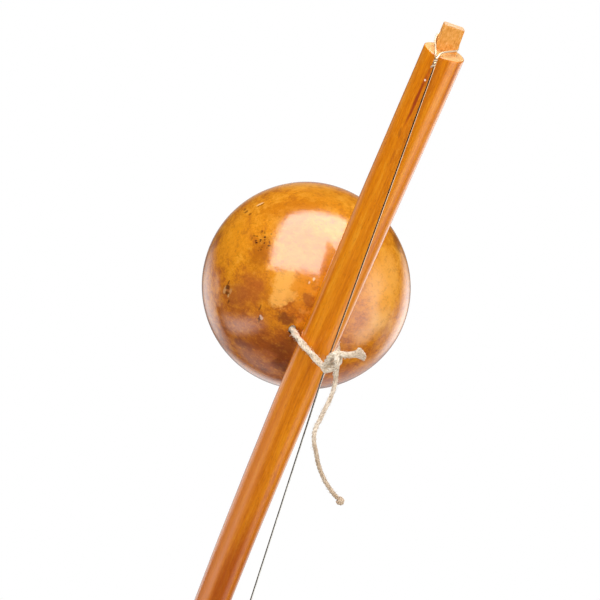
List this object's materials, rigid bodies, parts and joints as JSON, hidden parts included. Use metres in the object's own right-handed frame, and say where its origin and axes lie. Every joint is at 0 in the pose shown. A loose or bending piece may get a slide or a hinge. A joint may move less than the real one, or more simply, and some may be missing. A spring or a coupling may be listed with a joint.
{
  "type": "berimbau",
  "caption": "Musical bow: a bent wooden stave with a steel string and a hollow gourd resonator that slides along the stave on a twine loop.",
  "frame": {"origin": "on the stave's axis beside the gourd, where a hand holds the bow", "axes": "+Z along the stave's chord towards the carved foot, -Y on the string's side, +Y on the gourd's side"},
  "size_m": [0.16, 0.2457, 1.34],
  "materials": {
    "stave_wood": "satin varnish over straight grain",
    "gourd_shell": "gloss varnish on mottled gourd rind",
    "string_steel": "dull drawn wire",
    "loop_twine": "laid cotton twine",
    "pad_leather": "thick sole leather",
    "tack_brass": "dull brass",
    "tie_cord": "laid cotton cord"
  },
  "bodies": {
    "stave": {"stave": "stave_wood", "wire": "string_steel", "leather_pad": "pad_leather", "tack_1": "tack_brass", "tack_2": "tack_brass", "tack_3": "tack_brass", "tie_bight": "tie_cord", "tie_knot": "tie_cord", "tie_winding": "tie_cord"},
    "gourd": {"gourd": "gourd_shell", "gourd_loop": "loop_twine", "loop_knot": "loop_twine", "short_tail": "loop_twine", "long_tail": "loop_twine", "tail_knot": "loop_twine"}
  },
  "joints": [
    {"name": "gourd_slide", "type": "slide", "parent": "stave", "child": "gourd", "axis": [0, -0.2706, 0.9627], "range_m": [-0.04, 0.04], "deforming": ["wire"]}
  ]
}
